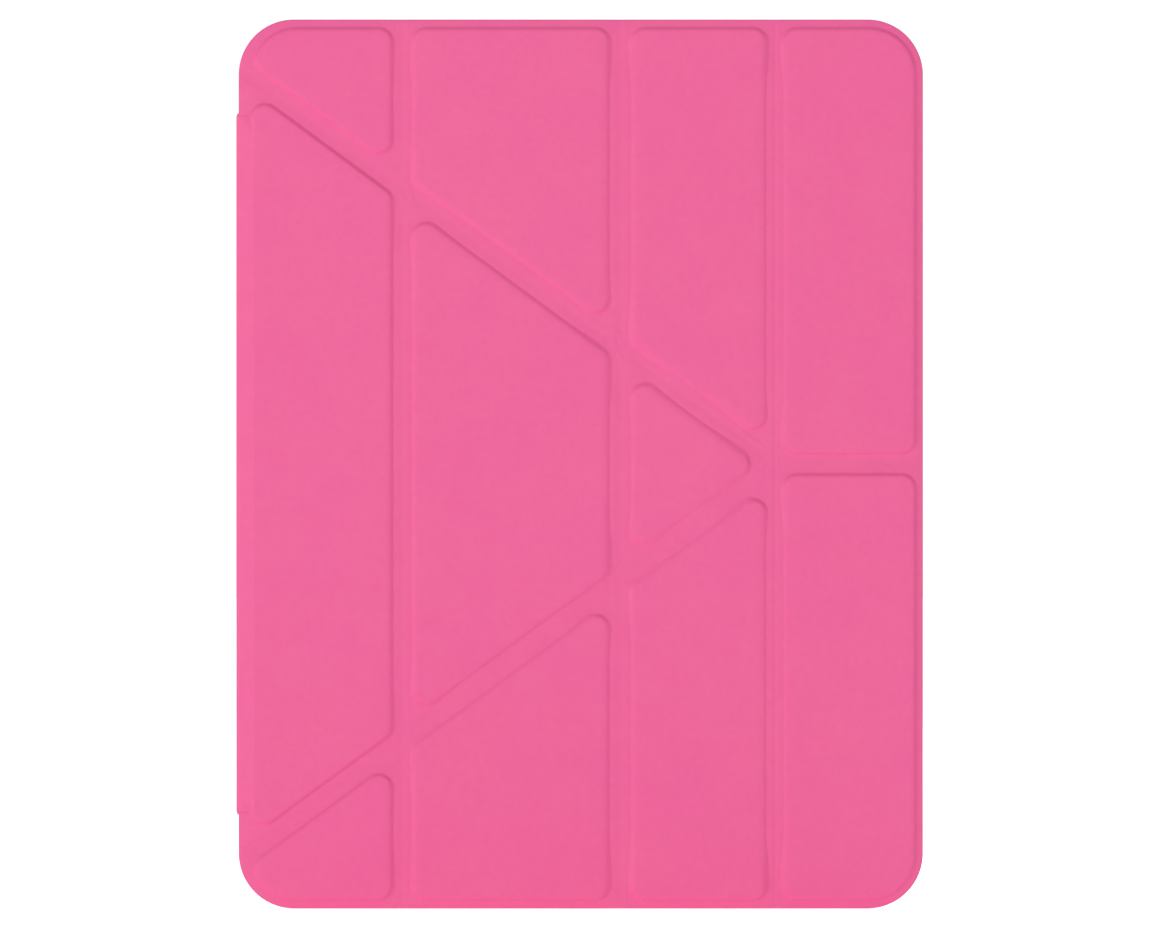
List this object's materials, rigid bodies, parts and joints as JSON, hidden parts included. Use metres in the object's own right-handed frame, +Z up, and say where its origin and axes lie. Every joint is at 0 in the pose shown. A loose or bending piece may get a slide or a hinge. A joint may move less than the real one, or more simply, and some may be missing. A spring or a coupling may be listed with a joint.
{
  "type": "tablet case",
  "caption": "Book-style tablet case: soft rear tray, spine and a front cover of stiffened panels that folds along upright and diagonal grooves into a stand.",
  "frame": {"origin": "middle of the tray's flat back face", "axes": "+Z up along the case's long side, +X towards the opening edge of the cover, +Y out of the back; the cover faces -Y"},
  "size_m": [0.219, 0.0119, 0.2836],
  "materials": {
    "cover_skin": "smooth matte coated leather, pink",
    "cover_lining": "brushed microfibre, pink",
    "stiffener_board": "raw fibre board, hidden",
    "magnet": "plated disc, hidden",
    "tray": "satin soft moulded plastic, pink",
    "button": "satin soft moulded plastic, pink"
  },
  "bodies": {
    "shell": {"rear_shell": "tray", "rear_anchor_flap": "cover_skin"},
    "power": {"power_button": "button"},
    "volume_up": {"volume_up_button": "button"},
    "volume_down": {"volume_down_button": "button"},
    "spine": {"spine_skin": "cover_skin", "spine_board": "stiffener_board", "spine_lining": "cover_lining"},
    "col1_top": {"col1_top_skin": "cover_skin", "col1_top_board": "stiffener_board", "col1_top_lining": "cover_lining"},
    "col1_mid": {"col1_mid_skin": "cover_skin", "col1_mid_board": "stiffener_board", "col1_mid_lining": "cover_lining", "col1_mid_magnet_upper": "magnet", "col1_mid_magnet_lower": "magnet"},
    "col1_bottom": {"col1_bottom_skin": "cover_skin", "col1_bottom_board": "stiffener_board", "col1_bottom_lining": "cover_lining"},
    "col2_top": {"col2_top_skin": "cover_skin", "col2_top_board": "stiffener_board", "col2_top_lining": "cover_lining"},
    "col2_mid": {"col2_mid_skin": "cover_skin", "col2_mid_board": "stiffener_board", "col2_mid_lining": "cover_lining"},
    "col2_bottom": {"col2_bottom_skin": "cover_skin", "col2_bottom_board": "stiffener_board", "col2_bottom_lining": "cover_lining"},
    "col3_top": {"col3_top_skin": "cover_skin", "col3_top_board": "stiffener_board", "col3_top_lining": "cover_lining", "col3_top_magnet": "magnet"},
    "col3_mid": {"col3_mid_skin": "cover_skin", "col3_mid_board": "stiffener_board", "col3_mid_lining": "cover_lining"},
    "col3_bottom": {"col3_bottom_skin": "cover_skin", "col3_bottom_board": "stiffener_board", "col3_bottom_lining": "cover_lining", "col3_bottom_magnet": "magnet"},
    "col4_top": {"col4_top_skin": "cover_skin", "col4_top_board": "stiffener_board", "col4_top_lining": "cover_lining", "col4_top_magnet_upper": "magnet", "col4_top_magnet_lower": "magnet"},
    "col4_bottom": {"col4_bottom_skin": "cover_skin", "col4_bottom_board": "stiffener_board", "col4_bottom_lining": "cover_lining", "col4_bottom_magnet_upper": "magnet", "col4_bottom_magnet_lower": "magnet"},
    "v1_top_web": {"v1_top_web": "cover_skin"},
    "v1_bottom_web": {"v1_bottom_web": "cover_skin"},
    "v2_top_web": {"v2_top_web": "cover_skin"},
    "v2_bottom_web": {"v2_bottom_web": "cover_skin"},
    "v3_top_web": {"v3_top_web": "cover_skin"},
    "v3_bottom_web": {"v3_bottom_web": "cover_skin"}
  },
  "joints": [
    {"name": "power_press", "type": "slide", "parent": "shell", "child": "power", "axis": [0, 0, -1], "range_m": [0, 0.0004]},
    {"name": "volume_up_press", "type": "slide", "parent": "shell", "child": "volume_up", "axis": [-1, 0, 0], "range_m": [0, 0.0004]},
    {"name": "volume_down_press", "type": "slide", "parent": "shell", "child": "volume_down", "axis": [-1, 0, 0], "range_m": [0, 0.0004]},
    {"name": "spine_fold", "type": "hinge", "parent": "shell", "child": "spine", "pos_m": [-0.1092, -0.0004, 0], "axis": [0, 0, 1], "range_deg": [-180, 0]},
    {"name": "cover_fold", "type": "hinge", "parent": "spine", "child": "col1_mid", "pos_m": [-0.1095, -0.0097, 0], "axis": [0, 0, -1], "range_deg": [0, 180]},
    {"name": "roll_fold_1", "type": "hinge", "parent": "col1_mid", "child": "col2_mid", "pos_m": [-0.0569, -0.0115, 0], "axis": [0, 0, -1], "range_deg": [0, 130]},
    {"name": "roll_fold_2", "type": "hinge", "parent": "col2_mid", "child": "col3_mid", "pos_m": [0.0126, -0.0115, 0], "axis": [0, 0, -1], "range_deg": [0, 136]},
    {"name": "v1_top_fold", "type": "hinge", "parent": "col1_top", "child": "v1_top_web", "pos_m": [-0.0569, -0.0115, 0], "axis": [0, 0, -1], "range_deg": [0, 130]},
    {"name": "v1_bottom_fold", "type": "hinge", "parent": "col1_bottom", "child": "v1_bottom_web", "pos_m": [-0.0569, -0.0115, 0], "axis": [0, 0, -1], "range_deg": [0, 130]},
    {"name": "v2_top_fold", "type": "hinge", "parent": "col2_top", "child": "v2_top_web", "pos_m": [0.0126, -0.0115, 0], "axis": [0, 0, -1], "range_deg": [0, 136]},
    {"name": "v2_bottom_fold", "type": "hinge", "parent": "col2_bottom", "child": "v2_bottom_web", "pos_m": [0.0126, -0.0115, 0], "axis": [0, 0, -1], "range_deg": [0, 136]},
    {"name": "stand_fold", "type": "hinge", "parent": "col1_mid", "child": "col1_top", "pos_m": [0.0623, -0.0115, 0], "axis": [-0.8058, 0, 0.5922], "range_deg": [-105, 0]},
    {"name": "col2_top_fold", "type": "hinge", "parent": "col2_mid", "child": "col2_top", "pos_m": [0.0623, -0.0115, 0], "axis": [-0.8058, 0, 0.5922], "range_deg": [-105, 0]},
    {"name": "col3_top_fold", "type": "hinge", "parent": "col3_mid", "child": "col3_top", "pos_m": [0.0623, -0.0115, 0], "axis": [-0.8058, 0, 0.5922], "range_deg": [-105, 0]},
    {"name": "col1_bottom_fold", "type": "hinge", "parent": "col1_mid", "child": "col1_bottom", "pos_m": [0.0623, -0.0115, 0], "axis": [0.8058, 0, 0.5922], "range_deg": [-105, 0]},
    {"name": "col2_bottom_fold", "type": "hinge", "parent": "col2_mid", "child": "col2_bottom", "pos_m": [0.0623, -0.0115, 0], "axis": [0.8058, 0, 0.5922], "range_deg": [-105, 0]},
    {"name": "col3_bottom_fold", "type": "hinge", "parent": "col3_mid", "child": "col3_bottom", "pos_m": [0.0623, -0.0115, 0], "axis": [0.8058, 0, 0.5922], "range_deg": [-105, 0]},
    {"name": "v3_top_fold", "type": "hinge", "parent": "col3_top", "child": "v3_top_web", "pos_m": [0.061, -0.0097, 0], "axis": [0, 0, -1], "range_deg": [-38, 0]},
    {"name": "v3_bottom_fold", "type": "hinge", "parent": "col3_bottom", "child": "v3_bottom_web", "pos_m": [0.061, -0.0097, 0], "axis": [0, 0, -1], "range_deg": [-38, 0]},
    {"name": "roll_fold_3", "type": "hinge", "parent": "v3_top_web", "child": "col4_top", "pos_m": [0.0629, -0.0115, 0], "axis": [0, 0, -1], "range_deg": [0, 93.5]},
    {"name": "col4_bottom_fold", "type": "hinge", "parent": "v3_bottom_web", "child": "col4_bottom", "pos_m": [0.0629, -0.0115, 0], "axis": [0, 0, -1], "range_deg": [0, 93.5]}
  ],
  "couplings": [
    {"joint": "v1_top_fold", "follows": "roll_fold_1", "ratio": 1},
    {"joint": "v1_bottom_fold", "follows": "roll_fold_1", "ratio": 1},
    {"joint": "v2_top_fold", "follows": "roll_fold_2", "ratio": 1},
    {"joint": "v2_bottom_fold", "follows": "roll_fold_2", "ratio": 1},
    {"joint": "col2_top_fold", "follows": "stand_fold", "ratio": 1},
    {"joint": "col3_top_fold", "follows": "stand_fold", "ratio": 1},
    {"joint": "col1_bottom_fold", "follows": "stand_fold", "ratio": 1},
    {"joint": "col2_bottom_fold", "follows": "stand_fold", "ratio": 1},
    {"joint": "col3_bottom_fold", "follows": "stand_fold", "ratio": 1},
    {"joint": "v3_top_fold", "follows": "stand_fold", "ratio": 0.36},
    {"joint": "v3_bottom_fold", "follows": "stand_fold", "ratio": 0.36},
    {"joint": "col4_bottom_fold", "follows": "roll_fold_3", "ratio": 1}
  ]
}
